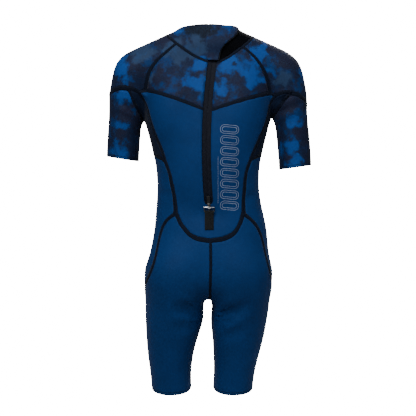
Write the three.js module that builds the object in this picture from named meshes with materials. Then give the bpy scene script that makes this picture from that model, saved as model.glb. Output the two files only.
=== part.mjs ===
// A short-sleeved, short-legged neoprene wetsuit with a back zip, standing open as if worn.
// Millimetres, +Z up. Heights are counted from the leg hems; the finished suit is then moved so that
// its origin is the middle of the neck opening. The wearer's back faces -Y and the left hand is at -X.
import * as THREE from "three";

const { clamp, degToRad, smoothstep } = THREE.MathUtils;

// ---- driving dimensions
const FABRIC = 3; // thickness of the foam rubber panels
const INSET = 0.5; // each panel stops this short of a seam's line
const AIR = 0.35; // space between pieces that lie on each other
const NECK_HEIGHT = 905; // the neck opening's middle above the leg hems
const NECK_DEPTH = -12;
const COLLAR_TOP = 954;
const BINDING = 3; // width of the tape that binds the collar's edges
const HEM_TAPE = { low: 2, high: 14, thick: 1, pieces: 40, gap: 1.6 };
const SLOT_HALF = 10.7; // half the width of the zip's slot
const SLOT_TOP = 858;
const SLOT_END = 509; // height of the middle of the slot's round end
const TAPE = { inner: 0.15, outer: 17, low: -4.8, high: -3.4, bottom: 486, top: 873 };
const CHAIN = { inner: 0.15, outer: 2.7, low: -3.1, high: 0.4, bottom: 502.5, top: 867 };
const STOP_LENGTH = 2.5;
const FLAP = { half: 28, low: -7.2, high: -5.2, bottom: 476, top: 869 };
const SLIDER = { low: 504, length: 17, half: 4.6, wall: 1.4, roof: 2.2 };
const LINK = { width: 7, ply: 0.8 };
const RING = { width: 27, thick: 2.4, bar: 2.8, arm: 2.1, height: 491.7, drop: 10.7, lift: 3.6 };
const EYE = 2.2; // half the size of the eyes that hold the ring's bars
const LEASH = { width: 22, bottom: 437, ply: 0.8 };
const TAB_RISE = 2.9; // how far the collar tab climbs to pass over its fastening patches
const TAB_THICK = 2.2;
const PATCH = { low: 0.8, thick: 0.7, high: 1.9 };

// The zip runs on an arc, so its slider turns about the arc's centre. The arc's plane leans sideways,
// which also gives the chain its slight sideways bow.
const ZIP = { radius: 640, lean: 0.41, x: -4, y: -115, z: 640 };

const at = (x, y, z) => new THREE.Vector3(x, y, z);

// ---- the zip's own space: u across the chain, w out of the back, height along the arc
const zipInward = at(Math.sin(ZIP.lean), Math.cos(ZIP.lean), 0);
const zipAxis = at(-Math.cos(ZIP.lean), Math.sin(ZIP.lean), 0);
const zipCentre = at(ZIP.x, ZIP.y, ZIP.z).addScaledVector(zipInward, ZIP.radius);
const zipAngle = (height) => Math.asin((height - ZIP.z) / ZIP.radius);

function zipPoint(u, w, height) {
  const point = at(ZIP.x + u, ZIP.y - w, ZIP.z).sub(zipCentre);
  return point.applyAxisAngle(zipAxis, zipAngle(height)).add(zipCentre);
}

function zipSpace(p) {
  const v = p.clone().sub(zipCentre);
  const sunk = Math.hypot(v.z, v.dot(zipInward));
  const along = v.dot(zipAxis);
  const u = zipCentre.x + along * zipAxis.x - sunk * zipInward.x - ZIP.x;
  const w = ZIP.y - (zipCentre.y + along * zipAxis.y - sunk * zipInward.y);
  return { u, w };
}

// ---- the body that fills the suit
// A smooth line through [height, value] stations.
function profile(stations) {
  const slope = stations.map((_, i) => {
    const a = stations[Math.max(i - 1, 0)];
    const b = stations[Math.min(i + 1, stations.length - 1)];
    return (b[1] - a[1]) / (b[0] - a[0]);
  });
  return (height) => {
    const h = clamp(height, stations[0][0], stations[stations.length - 1][0]);
    let i = 0;
    while (i < stations.length - 2 && h > stations[i + 1][0]) i++;
    const step = stations[i + 1][0] - stations[i][0];
    const t = (h - stations[i][0]) / step;
    const ease = t * t * (3 - 2 * t);
    const rise = stations[i + 1][1] - stations[i][1];
    return stations[i][1] + ease * rise +
      step * t * (1 - t) * ((1 - t) * slope[i] - t * slope[i + 1]);
  };
}

function smoothUnion(a, b, width) {
  const overlap = Math.max(width - Math.abs(a - b), 0) / width;
  return Math.min(a, b) - (overlap * overlap * width) / 4;
}

// About how far (x, y) lies outside a rounded-square section with the given half sides.
function section(x, y, halfWidth, halfDepth, squareness) {
  const reach = Math.hypot(x, y) + 1e-9;
  const share = (Math.abs(x) / halfWidth) ** squareness + (Math.abs(y) / halfDepth) ** squareness;
  return reach * (1 - 1 / (share ** (1 / squareness) + 1e-12));
}

function ellipsoid(p, centre, radii) {
  const share = Math.hypot((p.x - centre[0]) / radii[0], (p.y - centre[1]) / radii[1],
    (p.z - centre[2]) / radii[2]);
  return (share - 1) * Math.min(...radii);
}

const zipDepth = (height) =>
  ZIP.y + ZIP.radius * Math.cos(ZIP.lean) * (1 - Math.cos(zipAngle(height)));
const trunk = {
  shift: profile([[200, -1], [250, -1], [300, 1], [340, 3], [397, 5], [444, 6.5], [490, 3], [560, 0],
    [700, -1], [950, 0]]),
  half: profile([[150, 90], [200, 116], [255, 145], [288, 153], [335, 155], [382, 152], [429, 147],
    [475, 140.5], [522, 134], [553, 132], [600, 135], [647, 145], [694, 157], [725, 162], [765, 165],
    [805, 160], [840, 140], [875, 100], [910, 60]]),
  back: profile([[150, -70], [200, -88], [255, -110], [300, -120], [335, -122], [380, -119],
    [430, -110], [470, -104],
    ...[500, 560, 640, 720, 800, 860].map((height) => [height, zipDepth(height)]), [910, -66]]),
  front: profile([[150, 60], [200, 78], [260, 90], [335, 95], [430, 93], [500, 92], [560, 96],
    [630, 104], [700, 112], [745, 112], [800, 98], [850, 74], [910, 48]]),
  crotch: 275,
  top: 900,
};

function trunkDistance(p) {
  const back = trunk.back(p.z);
  const front = trunk.front(p.z);
  const wall = section(p.x - trunk.shift(p.z), p.y - (front + back) / 2, trunk.half(p.z),
    (front - back) / 2, 2.4);
  return Math.max(wall, p.z - trunk.top, -smoothUnion(-wall, p.z - trunk.crotch, 40));
}

function limb(x, y, half, deep, low, high) {
  return { x: profile(x), y: profile(y), half: profile(half), deep: profile(deep), low, high };
}
const legY = [[-60, 4], [23, 2], [70, 0], [163, -5], [241, -10], [300, -12]];
const legHalf = [[-60, 51], [23, 51.5], [70, 53.5], [117, 60], [163, 67], [210, 71], [241, 71],
  [300, 62]];
const legDeep = [[-60, 65], [23, 66], [70, 69], [117, 76], [163, 84], [210, 91], [241, 94], [300, 98]];
const legX = {
  left: [[-60, -93], [23, -95], [70, -97.5], [117, -97.5], [163, -93.5], [210, -91.5], [241, -91],
    [300, -88]],
  right: [[-60, 60], [23, 65], [70, 69], [117, 74.5], [163, 79.5], [210, 83.5], [241, 87.5], [300, 90]],
};
const armHalf = [[480, 42], [560, 42], [648, 43], [727, 43.5], [770, 48], [800, 51], [850, 46]];
const armDeep = [[480, 48], [560, 49], [648, 52], [727, 55], [797, 60], [850, 58]];
const armX = {
  left: [[480, -229], [560, -226], [648, -221.5], [727, -214.5], [800, -204], [850, -191]],
  right: [[480, 232], [560, 228], [648, 223], [727, 214.5], [800, 204], [850, 191]],
};
const armY = { // the left arm hangs a little forward
  left: [[480, 52], [560, 34], [648, 15], [727, 2], [800, -8], [850, -12]],
  right: [[480, -4], [560, -4], [648, -4], [727, -6], [800, -10], [850, -12]],
};
const legs = {};
const arms = {};
for (const side of ["left", "right"]) {
  legs[side] = limb(legX[side], legY, legHalf, legDeep, -70, 330);
  arms[side] = limb(armX[side], armY[side], armHalf, armDeep, 470, 856);
}

function limbDistance(p, { x, y, half, deep, low, high }) {
  const wall = section(p.x - x(p.z), p.y - y(p.z), half(p.z), deep(p.z), 2.15);
  return Math.max(wall, p.z - high, low - p.z);
}

// From the neck's root to the shoulder's point.
function shoulderDistance(p, sign) {
  const root = at(sign * 55, -20, 905);
  const point = at(sign * 190, -12, 845);
  const run = point.clone().sub(root).setY(0);
  const t = clamp(p.clone().sub(root).setY(0).dot(run) / run.lengthSq(), 0, 1);
  const nearest = root.lerp(point, t);
  return Math.hypot(p.x - nearest.x, (p.y - nearest.y) * 0.86, p.z - nearest.z) - 50 - 2 * t;
}

function neckDistance(p) {
  const wall = section(p.x, p.y + 12 - (p.z - 880) * 0.12, 60, 58, 2);
  return Math.max(wall, p.z - 1040, 800 - p.z);
}

// Negative inside the body.
function body(p) {
  let f = trunkDistance(p);
  for (const sign of [-1, 1]) {
    f = smoothUnion(f, ellipsoid(p, [sign * 74, -58, 325], [78, 68, 84]), 30); // seat
    f = smoothUnion(f, ellipsoid(p, [sign * 82, -62, 750], [62, 50, 95]), 30); // shoulder blade
    f = smoothUnion(f, ellipsoid(p, [sign * 74, 62, 735], [72, 52, 62]), 30); // chest
    f = smoothUnion(f, shoulderDistance(p, sign), 34);
  }
  f = smoothUnion(f, neckDistance(p), 36);
  f = smoothUnion(f, limbDistance(p, arms.left), 22);
  f = smoothUnion(f, limbDistance(p, arms.right), 22);
  const thighs = smoothUnion(limbDistance(p, legs.left), limbDistance(p, legs.right), 34);
  f = smoothUnion(f, thighs, 40);
  if (p.y > 0) return f;
  const zip = zipSpace(p); // the back lies flat along the zip
  const level = smoothstep(p.z, 440, 500) * (1 - smoothstep(p.z, 862, 905));
  const bed = level * (1 - smoothstep(Math.abs(zip.u), 22, 75));
  return f * (1 - bed) + zip.w * bed;
}

function gradient(p) {
  const step = 0.05;
  const g = at(0, 0, 0);
  for (const axis of ["x", "y", "z"]) {
    const ahead = p.clone();
    const behindIt = p.clone();
    ahead[axis] += step;
    behindIt[axis] -= step;
    g[axis] = (body(ahead) - body(behindIt)) / (2 * step);
  }
  return g;
}

const outward = (p) => gradient(p).normalize();

// The nearby point on the body's surface.
function onto(p) {
  const q = p.clone();
  for (let i = 0; i < 60; i++) {
    const f = body(q);
    if (Math.abs(f) < 1e-4) break;
    const g = gradient(q);
    q.addScaledVector(g, -clamp(f, -12, 12) / Math.max(g.lengthSq(), 0.2));
  }
  return q;
}

// The first point where a line from outside meets the body, or one from inside leaves it.
function strike(start, direction) {
  const q = start.clone();
  for (let i = 0; i < 4000; i++) {
    const f = Math.abs(body(q));
    if (f < 0.01) break;
    q.addScaledVector(direction, clamp(f / 2, 0.01, 8));
  }
  return q;
}

const FAR = 320;
const back = (x, z) => strike(at(x, -FAR, z), at(0, 1, 0));
const front = (x, z) => strike(at(x, FAR, z), at(0, -1, 0));
const signOf = (side) => (side === "left" ? -1 : 1);

// A point round a limb: 0 degrees is the outer side, 90 the back, 180 the inner side, -90 the front.
function around(limbs, side, z, degrees) {
  const turn = degToRad(degrees);
  const core = at(limbs[side].x(z), limbs[side].y(z), z);
  return strike(core, at(signOf(side) * Math.cos(turn), -Math.sin(turn), 0));
}

// ---- seams: lines of shared points along which the panels are joined
// Each goes through a few points on the body and is cut into equal pieces.
function seam(points, pieces) {
  const curve = new THREE.CatmullRomCurve3(points, false, "centripetal");
  curve.arcLengthDivisions = 400;
  return curve.getSpacedPoints(pieces).map((p, i) => (i % pieces ? onto(p) : p));
}
const flip = (line) => [...line].reverse();
const chain = (...lines) => lines.flatMap((line, i) => (i ? line.slice(1) : line));

// How many pieces each stretch of seam is cut into. Opposite sides of a panel have equal counts.
const CUTS = {
  collarBack: 5, shoulderTop: 14, front: 14, collarHeight: 6,
  raglan: 8, yokeEnd: 1, arch: 12, archEnd: 2, armholeBack: 3, armholeFront: 4, sleeve: 7,
  backTop: 9, backMiddle: 6, backRound: 10, slotRound: 4,
  hip: 20, seat: 8, inseam: 12, frontSide: 10, frontRise: 4,
};

// Where the seams cross, as [across, height] seen square on, for the left and the right side.
const MARKS = {
  left: {
    collar: [[-79, 906], [-55, 887], [-28, 870]],
    collarSide: [-96, -55, 919],
    raglan: [[-79, 906], [-133, 860], [-152, 831], [-157, 806], [-157, 789]],
    yoke: [[-157, 789], [-136, 783], [-107, 772], [-60, 756]],
    arch: [[-178, 787], [-192, 794], [-202, 797], [-220, 798], [-237, 793]],
    armhole: [[-202, 797], [-195, 773], [-184, 750]],
    side: [[-178, 787], [-159, 760], [-151, 735], [-143, 703], [-133, 676], [-124, 656], [-108, 611]],
    sideLow: [[-108, 611], [-96, 575], [-85, 529], [-79, 476]],
    hip: [[-79, 476], [-97, 470], [-112, 453], [-120, 434], [-127, 396], [-138, 343]],
    level: [[-108, 611], [-128, 620]],
  },
  right: {
    collar: [[88, 898], [57, 875], [38, 862]],
    collarSide: [108, -55, 914],
    raglan: [[88, 898], [115, 876], [134, 853], [146, 832], [152, 812], [157, 783]],
    yoke: [[157, 783], [124, 770], [94, 762], [56, 750]],
    arch: [[173, 778], [191, 786], [210, 786], [227, 782], [239, 773]],
    armhole: [[210, 786], [191, 762], [175, 742]],
    side: [[173, 778], [151, 723], [131, 668], [107, 613]],
    sideLow: [[107, 613], [95, 579], [90, 533], [88, 475]],
    hip: [[88, 475], [111, 461], [127, 442], [139, 410], [146, 369], [154, 338]],
    level: [[107, 613], [128, 623]],
  },
};
const FRONT = { // the front is cut alike on both sides
  collar: [[70, 884], [40, 868], [0, 861]],
  raglan: [[70, 884], [112, 846], [142, 808], [160, 768]],
  underarm: [[160, 768], [138, 700], [118, 645]],
  chest: [[118, 645], [60, 628], [0, 622]],
  side: [[118, 645], [112, 560], [113, 480], [124, 410]],
  hip: [[124, 410], [70, 372], [4, 350]],
  leg: [[124, 410], [130, 330], [128, 250]],
};
const CROTCH = onto(at(6, -12, 262));
const ANKLE = { back: -14, front: -62 }; // degrees round the leg where the side panel's edges end

const legHem = (y) => 24.5 + 0.15 * y;
const sleeveHem = {
  left: (x, y) => 618.5 - 0.16 * (x + 222) + 0.06 * (y - 15),
  right: (x, y) => 596 + 0.14 * (x - 226) + 0.05 * (y + 4),
};

// A point where a limb meets its hem, or a line parallel to the hem and a little above it.
function hemPoint(limbs, side, degrees, rise = 0) {
  let p = around(limbs, side, limbs === legs ? 24 + rise : 607 + rise, degrees);
  for (let i = 0; i < 6; i++) {
    const height = limbs === legs ? legHem(p.y) : sleeveHem[side](p.x, p.y);
    p = around(limbs, side, height + rise, degrees);
  }
  return p;
}

function hemLine(limbs, side, from, to, pieces, rise = 0) {
  return Array.from({ length: pieces + 1 }, (_, i) =>
    hemPoint(limbs, side, from + ((to - from) * i) / pieces, rise));
}

const slotEdge = (side, height) => zipPoint(signOf(side) * SLOT_HALF, 0, height);
const slotBottom = zipPoint(0, 0, SLOT_END - SLOT_HALF);

function slotLine(side, from, to, pieces) {
  return Array.from({ length: pieces + 1 }, (_, i) => slotEdge(side, from + ((to - from) * i) / pieces));
}

function slotRound(side) {
  return Array.from({ length: CUTS.slotRound + 1 }, (_, i) => {
    const turn = (Math.PI / 2) * (i / CUTS.slotRound);
    const u = signOf(side) * SLOT_HALF * Math.cos(turn);
    return i === CUTS.slotRound ? slotBottom : zipPoint(u, 0, SLOT_END - SLOT_HALF * Math.sin(turn));
  });
}

const YOKE_HEIGHT = 736;
const U_BOTTOM = back(7, 411);
const FRONT_TOP = front(0, FRONT.collar[2][1]);
const CHEST_MIDDLE = front(0, FRONT.chest[2][1]);
const HIP_MIDDLE = front(...FRONT.hip[2]);

function seamsOf(side) {
  const sign = signOf(side);
  const marks = MARKS[side];
  const behindAll = (list) => list.map(([x, z]) => back(x, z));
  const frontAll = (list) => list.map(([x, z]) => front(x === 4 ? x : sign * x, z));
  const armpit = strike(at(sign * 166, -2, 690), at(0, 0, 1));
  const s = {};
  s.collarBack = seam([...behindAll(marks.collar), slotEdge(side, SLOT_TOP)], CUTS.collarBack);
  s.collarSide = seam([back(...marks.collar[0]), onto(at(...marks.collarSide)),
    onto(at(sign * 92, 2, 908)), front(sign * 70, FRONT.collar[0][1])], CUTS.shoulderTop);
  s.collarFront = seam(frontAll(FRONT.collar), CUTS.front / 2);
  s.raglan = seam(behindAll(marks.raglan), CUTS.raglan);
  s.yoke = seam([...behindAll(marks.yoke), slotEdge(side, YOKE_HEIGHT)], CUTS.collarBack);
  s.slotTop = slotLine(side, SLOT_TOP, YOKE_HEIGHT, CUTS.raglan);
  const slotLow = slotLine(side, YOKE_HEIGHT, SLOT_END,
    CUTS.backTop + CUTS.backMiddle + CUTS.backRound - CUTS.slotRound);
  s.slotLow = chain(slotLow, slotRound(side));
  s.yokeEnd = seam([back(...marks.raglan.at(-1)), back(...marks.arch[0])], CUTS.yokeEnd);
  s.archEnd = seam(behindAll(marks.arch.slice(0, 3)), CUTS.archEnd);
  s.frontRaglan = seam(frontAll(FRONT.raglan), CUTS.raglan + CUTS.yokeEnd);
  s.arch = seam([...behindAll(marks.arch.slice(2)), around(arms, side, side === "left" ? 783 : 757, 0),
    around(arms, side, side === "left" ? 774 : 755, -40), around(arms, side, 764, -80),
    front(sign * FRONT.raglan.at(-1)[0], FRONT.raglan.at(-1)[1])], CUTS.arch);
  s.armholeBack = seam([...behindAll(marks.armhole), armpit], CUTS.armholeBack);
  s.armholeFront = seam([armpit, front(sign * 165, 750), s.arch.at(-1)], CUTS.armholeFront);
  s.sideTop = seam(behindAll(marks.side), CUTS.backTop);
  s.sideLow = seam(behindAll(marks.sideLow), CUTS.backMiddle);
  s.underarmFront = seam([s.arch.at(-1), ...frontAll(FRONT.underarm.slice(1))],
    CUTS.backTop - CUTS.armholeBack);
  s.level = seam([...behindAll(marks.level), onto(at(sign * 140, -10, 634)),
    front(sign * 118, FRONT.underarm[2][1])], CUTS.archEnd + CUTS.armholeFront);
  s.round = seam(side === "left"
    ? [...behindAll([[-79, 476], [-69, 453], [-50, 429], [-27, 416]]), U_BOTTOM]
    : [...behindAll([[88, 475], [80, 450], [64, 427], [41, 416]]), U_BOTTOM], CUTS.backRound);
  s.hip = seam([...behindAll(marks.hip), around(legs, side, 250, -4), around(legs, side, 170, -8),
    around(legs, side, 90, -11), hemPoint(legs, side, ANKLE.back)], CUTS.hip);
  s.seat = seam([U_BOTTOM, back(7, 360), back(6, 310), onto(at(6, -70, 262)), CROTCH], CUTS.seat);
  s.inseam = seam([CROTCH, around(legs, side, 232, 178), around(legs, side, 160, 180),
    around(legs, side, 90, 180), hemPoint(legs, side, 180)], CUTS.inseam);
  s.frontRise = seam([HIP_MIDDLE, front(5, 300), onto(at(6, 60, 268)), CROTCH], CUTS.frontRise);
  s.frontSide = seam(frontAll(FRONT.side), CUTS.frontSide);
  s.frontLeg = seam([...frontAll(FRONT.leg), around(legs, side, 150, -54),
    hemPoint(legs, side, ANKLE.front)], CUTS.seat + CUTS.inseam + CUTS.backMiddle - CUTS.frontSide);
  s.frontHip = seam(frontAll(FRONT.hip), CUTS.front / 2);
  s.chest = seam(frontAll(FRONT.chest), CUTS.front / 2);
  s.backHem = hemLine(legs, side, ANKLE.back, 180, CUTS.backRound);
  s.frontHem = hemLine(legs, side, ANKLE.front, -180, CUTS.front / 2);
  s.sideHem = hemLine(legs, side, ANKLE.back, ANKLE.front, CUTS.archEnd + CUTS.armholeFront);
  s.frontHem[s.frontHem.length - 1] = s.backHem.at(-1);
  s.sleeveHem = hemLine(arms, side, 180, -180, CUTS.armholeBack + CUTS.arch + CUTS.armholeFront);
  s.sleeveHem[s.sleeveHem.length - 1] = s.sleeveHem[0];
  s.underarm = seam([armpit, around(arms, side, 680, 180), s.sleeveHem[0]], CUTS.sleeve);
  s.armpitLine = seam([s.sideTop[CUTS.armholeBack], armpit], CUTS.archEnd);
  s.seatFold = seam([s.hip[CUTS.seat], back(sign * 95, 272), around(legs, side, 238, 118),
    around(legs, side, 228, 150), CROTCH], CUTS.backRound);
  s.groin = seam([s.frontLeg[CUTS.frontRise], front(sign * 95, 285), around(legs, side, 240, -118),
    around(legs, side, 228, -150), CROTCH], CUTS.front / 2);
  s.collarTop = collarTopLine(side);
  return s;
}

const collarRise = (y) => COLLAR_TOP - 0.1 * (y + 50);

// The collar's upper edge, from its back end round to the middle of the front.
function collarTopLine(side) {
  const pieces = CUTS.collarBack + CUTS.shoulderTop + CUTS.front / 2;
  const from = side === "left" ? 87 : 88.5; // degrees from the wearer's side towards the back
  return Array.from({ length: pieces + 1 }, (_, i) => {
    const turn = degToRad(from + ((-90 - from) * i) / pieces);
    const direction = at(signOf(side) * Math.cos(turn), -Math.sin(turn), 0);
    let p = at(0, 0, COLLAR_TOP);
    for (let k = 0; k < 4; k++) p = strike(at(0, -4, collarRise(p.y)), direction);
    return p;
  });
}

// ---- panels
// The points of a four-sided panel: row j runs from the start line's point j to the end line's point j.
// Each round of evening moves the inner points towards their neighbours' middle.
const FEW_ROUNDS = 3; // near the crotch, where the surface turns in sharply

function spread(start, end, first, last, rounds = 14) {
  const rows = first.length - 1;
  const columns = start.length - 1;
  const grid = Array.from({ length: columns + 1 }, () => []);
  for (let i = 0; i <= columns; i++) {
    for (let j = 0; j <= rows; j++) {
      const s = i / columns;
      const t = j / rows;
      if (j === 0) grid[i][j] = start[i];
      else if (j === rows) grid[i][j] = end[i];
      else if (i === 0) grid[i][j] = first[j];
      else if (i === columns) grid[i][j] = last[j];
      else {
        const p = start[i].clone().multiplyScalar(1 - t).addScaledVector(end[i], t)
          .addScaledVector(first[j], 1 - s).addScaledVector(last[j], s)
          .addScaledVector(start[0], -(1 - s) * (1 - t)).addScaledVector(start[columns], -s * (1 - t))
          .addScaledVector(end[0], -(1 - s) * t).addScaledVector(end[columns], -s * t);
        grid[i][j] = onto(p);
      }
    }
  }
  for (let round = 0; round < rounds; round++) {
    for (let i = 1; i < columns; i++) {
      for (let j = 1; j < rows; j++) {
        const mean = at(0, 0, 0);
        for (const near of [grid[i - 1][j], grid[i + 1][j], grid[i][j - 1], grid[i][j + 1]]) {
          mean.addScaledVector(near, 0.25);
        }
        grid[i][j] = onto(mean);
      }
    }
  }
  return grid;
}

// A sheet of four-sided faces made from grids that share points: its points, its faces and its free edges.
function sheet(...gridList) {
  const points = [];
  const indexOf = new Map();
  const place = (p) => {
    const key = p.toArray().map((value) => value.toFixed(3)).join();
    if (!indexOf.has(key)) indexOf.set(key, points.push(p) - 1);
    return indexOf.get(key);
  };
  const faces = [];
  for (const grid of gridList) {
    for (let i = 0; i < grid.length - 1; i++) {
      for (let j = 0; j < grid[0].length - 1; j++) {
        faces.push([grid[i][j], grid[i + 1][j], grid[i + 1][j + 1], grid[i][j + 1]].map(place));
      }
    }
  }
  const used = new Set(faces.flatMap((face) => face.map((a, k) => a + "," + face[(k + 1) % 4])));
  const edges = [];
  for (const face of faces) {
    face.forEach((a, k) => {
      const b = face[(k + 1) % 4];
      if (!used.has(b + "," + a)) edges.push({ a, b, face });
    });
  }
  return { points, faces, edges };
}

// Pulls a sheet's free edges in from its seams.
function pullIn({ points, faces, edges }, amount) {
  const pulls = points.map(() => []);
  for (const { a, b, face } of edges) {
    const middle = at(0, 0, 0);
    for (const i of face) middle.addScaledVector(points[i], 0.25);
    const along = points[b].clone().sub(points[a]).normalize();
    const inner = middle.sub(points[a]);
    inner.addScaledVector(along, -inner.dot(along)).normalize();
    pulls[a].push(inner);
    pulls[b].push(inner);
  }
  const moved = points.map((p, i) => {
    if (!pulls[i].length) return p.clone();
    const sum = at(0, 0, 0);
    for (const pull of pulls[i]) sum.add(pull);
    sum.normalize();
    return p.clone().addScaledVector(sum, amount / Math.max(sum.dot(pulls[i][0]), 0.4));
  });
  return { points: moved, faces, edges };
}

// The closed solid between a sheet raised to one height and the same sheet raised to another.
function shell({ points, faces, edges }, high, low) {
  const raise = (height) => points.map((p) =>
    p.clone().addScaledVector(outward(p), typeof height === "number" ? height : height(p)));
  return solidBetween(raise(high), raise(low), faces, edges);
}

function solidBetween(outer, inner, faces, edges) {
  const count = outer.length;
  const positions = [...outer, ...inner].flatMap((p) => p.toArray());
  const triangles = [];
  const quad = (a, b, c, d) => triangles.push(a, b, c, a, c, d);
  for (const [a, b, c, d] of faces) {
    quad(a, b, c, d);
    quad(count + a, count + d, count + c, count + b);
  }
  for (const { a, b } of edges) quad(a, count + a, count + b, b);
  const point = (i) => at(...positions.slice(3 * i, 3 * i + 3));
  let volume = 0;
  for (let i = 0; i < triangles.length; i += 3) {
    volume += point(triangles[i]).dot(point(triangles[i + 1]).cross(point(triangles[i + 2])));
  }
  const geometry = new THREE.BufferGeometry();
  geometry.setAttribute("position", new THREE.Float32BufferAttribute(positions, 3));
  geometry.setIndex(volume > 0 ? triangles : [...triangles].reverse());
  return geometry;
}

const fabric = (...gridList) => shell(pullIn(sheet(...gridList), INSET), 0, -FABRIC);

// ---- finishes
const jersey = { color: 0x123f73, roughness: 0.78, metalness: 0 };
const print = { color: 0x1b2c56, roughness: 0.74, metalness: 0 };
const black = { color: 0x17191c, roughness: 0.8, metalness: 0 };
const metal = { color: 0xd4d6d8, roughness: 0.25, metalness: 1 };
const painted = { color: 0x191a1b, roughness: 0.42, metalness: 0.6 };

const suit = new THREE.Group();

function add(name, geometry, finish, parent = suit) {
  const mesh = new THREE.Mesh(geometry, new THREE.MeshStandardMaterial(finish));
  mesh.name = name;
  parent.add(mesh);
  return mesh;
}

// ---- the panels, one side at a time
const seams = { left: seamsOf("left"), right: seamsOf("right") };
const upTo = (line, count) => line.slice(0, count + 1);
for (const side of ["left", "right"]) {
  const s = seams[side];
  const name = (piece) => piece + "_" + side;
  add(name("yoke"), fabric(spread(s.collarBack, s.yoke, s.raglan, s.slotTop)), print);
  add(name("shoulder"), fabric(spread(s.collarSide, chain(s.archEnd, s.arch),
    chain(s.raglan, s.yokeEnd), s.frontRaglan)), print);
  add(name("sleeve"), fabric(spread(chain(flip(s.armholeBack), s.arch, flip(s.armholeFront)),
    s.sleeveHem, s.underarm, s.underarm)), print);
  add(name("underarm_panel"), fabric(
    spread(s.archEnd, s.armpitLine, upTo(s.sideTop, CUTS.armholeBack), s.armholeBack),
    spread(chain(s.armpitLine, s.armholeFront), s.level, s.sideTop.slice(CUTS.armholeBack),
      s.underarmFront)), print);
  add(name("side_panel"), fabric(spread(s.level, s.sideHem, chain(s.sideLow, s.hip),
    chain(s.frontSide, s.frontLeg))), jersey);
  add(name("seat_and_leg"), fabric(
    spread(s.round, s.seatFold, upTo(s.hip, CUTS.seat), s.seat, FEW_ROUNDS),
    spread(s.seatFold, s.backHem, s.hip.slice(CUTS.seat), s.inseam)), jersey);
  add(name("front_leg"), fabric(
    spread(s.frontHip, s.groin, upTo(s.frontLeg, CUTS.frontRise), s.frontRise, FEW_ROUNDS),
    spread(s.groin, s.frontHem, s.frontLeg.slice(CUTS.frontRise), s.inseam)), jersey);
}
const { left, right } = seams;
const downTheBack = (s) => chain(s.sideTop, s.sideLow, s.round);
add("back_panel", fabric(spread(chain(downTheBack(left), flip(downTheBack(right))),
  chain(left.slotLow, flip(right.slotLow)), chain(flip(left.yokeEnd), left.yoke),
  chain(flip(right.yokeEnd), right.yoke))), jersey);
add("front_body", fabric(spread(chain(left.chest, flip(right.chest)),
  chain(left.frontHip, flip(right.frontHip)), left.frontSide, right.frontSide)), jersey);
add("front_chest", fabric(spread(chain(left.collarFront, flip(right.collarFront)),
  chain(left.chest, flip(right.chest)), chain(left.frontRaglan, left.underarmFront),
  chain(right.frontRaglan, right.underarmFront))), print);

// ---- the collar
right.collarTop[right.collarTop.length - 1] = left.collarTop.at(-1);
const collarSplit = CUTS.collarBack + CUTS.shoulderTop;
for (const side of ["left", "right"]) {
  const s = seams[side];
  s.collarEnd = seam([slotEdge(side, SLOT_TOP), side === "left" ? back(-2, 874) : back(27, 874),
    s.collarTop[0]], CUTS.collarHeight);
  s.collarJoin = seam([s.collarSide.at(-1), s.collarTop[collarSplit]], CUTS.collarHeight);
  add("collar_" + side, fabric(spread(chain(flip(s.collarBack), s.collarSide),
    upTo(s.collarTop, collarSplit), s.collarEnd, s.collarJoin)), side === "left" ? print : black);
}
add("collar_front", fabric(spread(chain(left.collarFront, flip(right.collarFront)),
  chain(left.collarTop.slice(collarSplit), flip(right.collarTop.slice(collarSplit))),
  left.collarJoin, right.collarJoin)), print);

// A narrow strip beside a line, from one distance to another along the given direction.
function strip(line, directionAt, near, far) {
  return line.map((p, i) => [near, far].map((distance) =>
    onto(p.clone().addScaledVector(directionAt(p, i), distance))));
}
const topEdge = chain(left.collarTop, flip(right.collarTop));
add("collar_binding", shell(sheet(strip(topEdge, () => at(0, 0, 1), AIR, AIR + BINDING)), 0, -FABRIC),
  black);

// The tab hinges on a crease at the left collar's end, and closes over the zip's top.
const collarTab = new THREE.Group();
suit.add(collarTab);
const TAB_EDGE = [[69, 951], [76, 940], [71, 929], [58, 915], [43, 903], [31, 889], [28, 874], [25, 860]];
const TAB_CUTS = { across: 6, down: 9 };
const tabTop = seam([left.collarTop[0], back(34, 952), back(...TAB_EDGE[0])], TAB_CUTS.across);
const tabEdge = seam(TAB_EDGE.map(([x, z]) => back(x, z)), TAB_CUTS.down);
const tabBottom = seam([slotEdge("left", SLOT_TOP + 2), tabEdge.at(-1)], TAB_CUTS.across);
const tabCrease = seam([left.collarTop[0], ...flip(left.collarEnd).slice(1, -1), tabBottom[0]],
  TAB_CUTS.down);
const tabGrid = spread(tabTop, tabBottom, tabCrease, tabEdge);
const tabLow = (p) => AIR + TAB_RISE * smoothstep(p.x, -3, 12);
const tabHigh = (p) => tabLow(p) + TAB_THICK;
add("collar_tab", shell(pullIn(sheet(tabGrid), INSET), tabHigh, tabLow), print, collarTab);
const awayFromTab = (p, i) => p.clone().sub(tabGrid[TAB_CUTS.across - 1][i]).normalize();
add("collar_tab_binding", shell(sheet(strip(tabEdge, awayFromTab, AIR, AIR + BINDING)), tabHigh, tabLow),
  black, collarTab);

// The two halves of the tab's hook-and-loop fastening.
const PATCH_CORNERS = [[16, 934], [50, 934], [16, 906], [38, 906]];
const [patchA, patchB, patchC, patchD] = PATCH_CORNERS.map(([x, z]) => back(x, z));
const patchGrid = spread(seam([patchA, patchB], 5), seam([patchC, patchD], 5), seam([patchA, patchC], 5),
  seam([patchB, patchD], 5));
add("loop_patch", shell(sheet(patchGrid), PATCH.low + PATCH.thick, PATCH.low), black);
add("hook_patch", shell(sheet(patchGrid), PATCH.high + PATCH.thick, PATCH.high), black, collarTab);

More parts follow.
